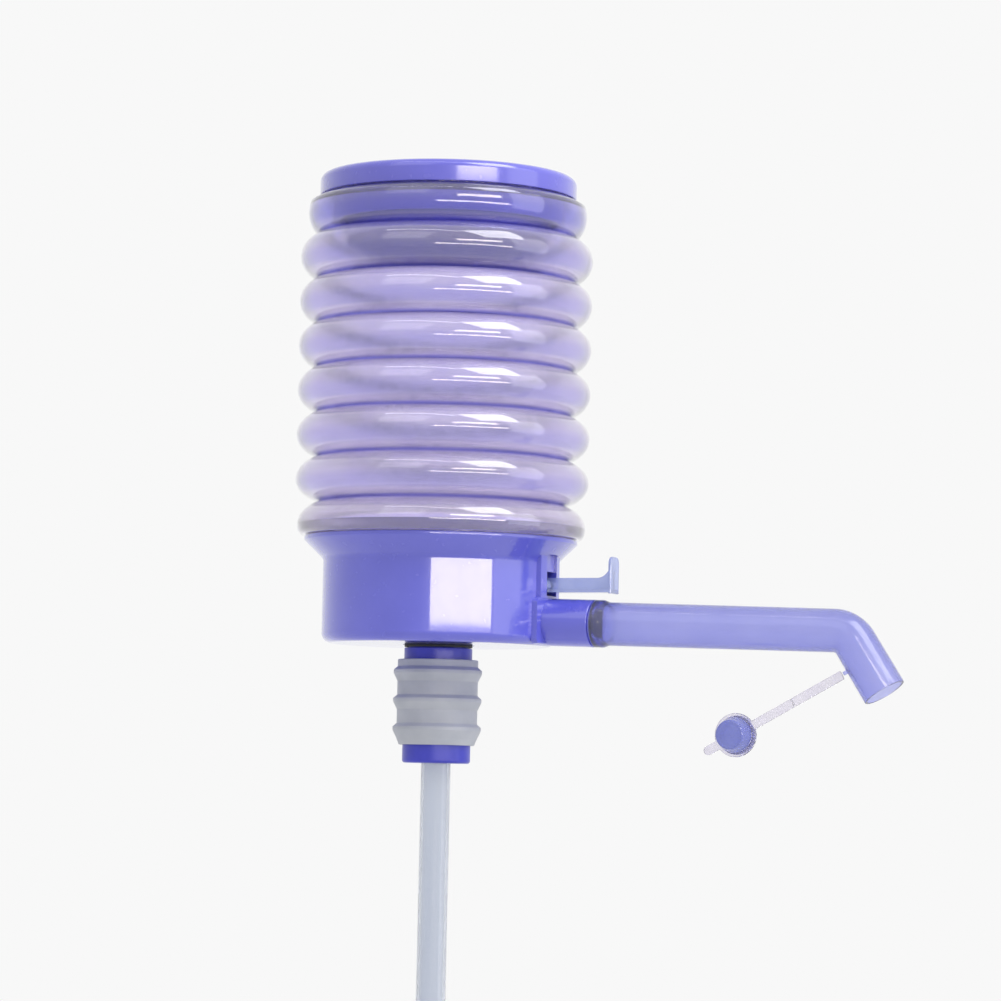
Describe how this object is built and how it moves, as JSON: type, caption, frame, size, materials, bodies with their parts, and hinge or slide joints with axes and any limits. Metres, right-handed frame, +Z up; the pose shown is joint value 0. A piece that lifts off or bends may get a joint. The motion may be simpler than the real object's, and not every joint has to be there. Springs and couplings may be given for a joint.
{
  "type": "water jug hand pump",
  "caption": "Bellows hand pump for a water jug, with a swivelling spout, a tethered dust plug, a pressure release lever and a long dip tube.",
  "frame": {"origin": "on the pump's axis at the underside of the base housing, where the pump meets the jug's cap", "axes": "+Z up along the bellows, +X towards the spout, which droops by 1.4 degrees"},
  "size_m": [0.1937, 0.0898, 0.5874],
  "materials": {
    "housing": "glossy translucent violet",
    "cap": "glossy deep violet",
    "bellows": "glossy clear lilac",
    "spout": "satin translucent violet",
    "lever": "glossy pale blue violet",
    "strap": "soft near-clear",
    "plug": "glossy violet",
    "stem": "satin dark blue",
    "valve_rubber": "satin silicone",
    "deck": "satin",
    "seal_rubber": "matte",
    "inner_plastic": "satin",
    "steel": "bright wire",
    "silicone": "satin translucent silicone",
    "tube": "glossy clear",
    "coupling": "glossy violet"
  },
  "bodies": {
    "base": {"base_housing": "housing", "valve_deck": "deck", "deck_gasket": "seal_rubber", "vent_chamber": "inner_plastic", "lever_pin": "steel", "release_spring": "steel", "water_elbow": "inner_plastic", "elbow_oring": "seal_rubber", "bellows": "bellows", "neck_stem": "stem", "stem_gasket": "seal_rubber", "stopper_sleeve": "silicone", "dip_tube_upper": "tube", "dip_tube_middle": "tube", "dip_tube_lower": "tube", "tube_coupling_upper": "coupling", "tube_coupling_lower": "coupling", "foot_strainer": "coupling"},
    "cap": {"press_cap": "cap"},
    "intake": {"intake_valve": "valve_rubber"},
    "delivery": {"delivery_valve": "valve_rubber"},
    "lever": {"release_lever": "lever", "release_stem": "inner_plastic", "release_pad": "seal_rubber"},
    "spout": {"spout_tube": "spout", "spout_oring": "seal_rubber"},
    "strap": {"plug_strap_inner": "strap"},
    "plug": {"plug_strap_outer": "strap", "dust_plug": "plug"}
  },
  "joints": [
    {"name": "press_slide", "type": "slide", "parent": "base", "child": "cap", "axis": [0, 0, -1], "range_m": [0, 0.055], "stiffness_N_per_m": 400, "deforming": ["bellows"]},
    {"name": "intake_valve_lift", "type": "slide", "parent": "cap", "child": "intake", "axis": [0, 0, -1], "range_m": [0, 0.001], "stiffness_N_per_m": 30, "springref_m": -0.0005},
    {"name": "delivery_valve_lift", "type": "slide", "parent": "base", "child": "delivery", "axis": [0, 0, -1], "range_m": [0, 0.001], "stiffness_N_per_m": 30, "springref_m": -0.0005},
    {"name": "release_lever_press", "type": "hinge", "parent": "base", "child": "lever", "pos_m": [0.0355, 0, 0.01817], "axis": [0, 1, 0], "range_deg": [0, 5], "stiffness_Nm_per_rad": 0.3, "deforming": ["release_spring"]},
    {"name": "spout_swivel", "type": "hinge", "parent": "base", "child": "spout", "pos_m": [0, 0, 0.00801], "axis": [0.9997, 0, -0.0244], "range_deg": [-90, 90]},
    {"name": "strap_root", "type": "hinge", "parent": "spout", "child": "strap", "pos_m": [0.13046, 0, -0.00785], "axis": [0.5418, -0.392, 0.7435], "range_deg": [0, 100.46], "stiffness_Nm_per_rad": 0.01},
    {"name": "strap_fold", "type": "hinge", "parent": "strap", "child": "plug", "pos_m": [0.11486, 0, -0.01639], "axis": [-0.4802, 0, 0.8771], "range_deg": [0, 133.46], "stiffness_Nm_per_rad": 0.01}
  ]
}
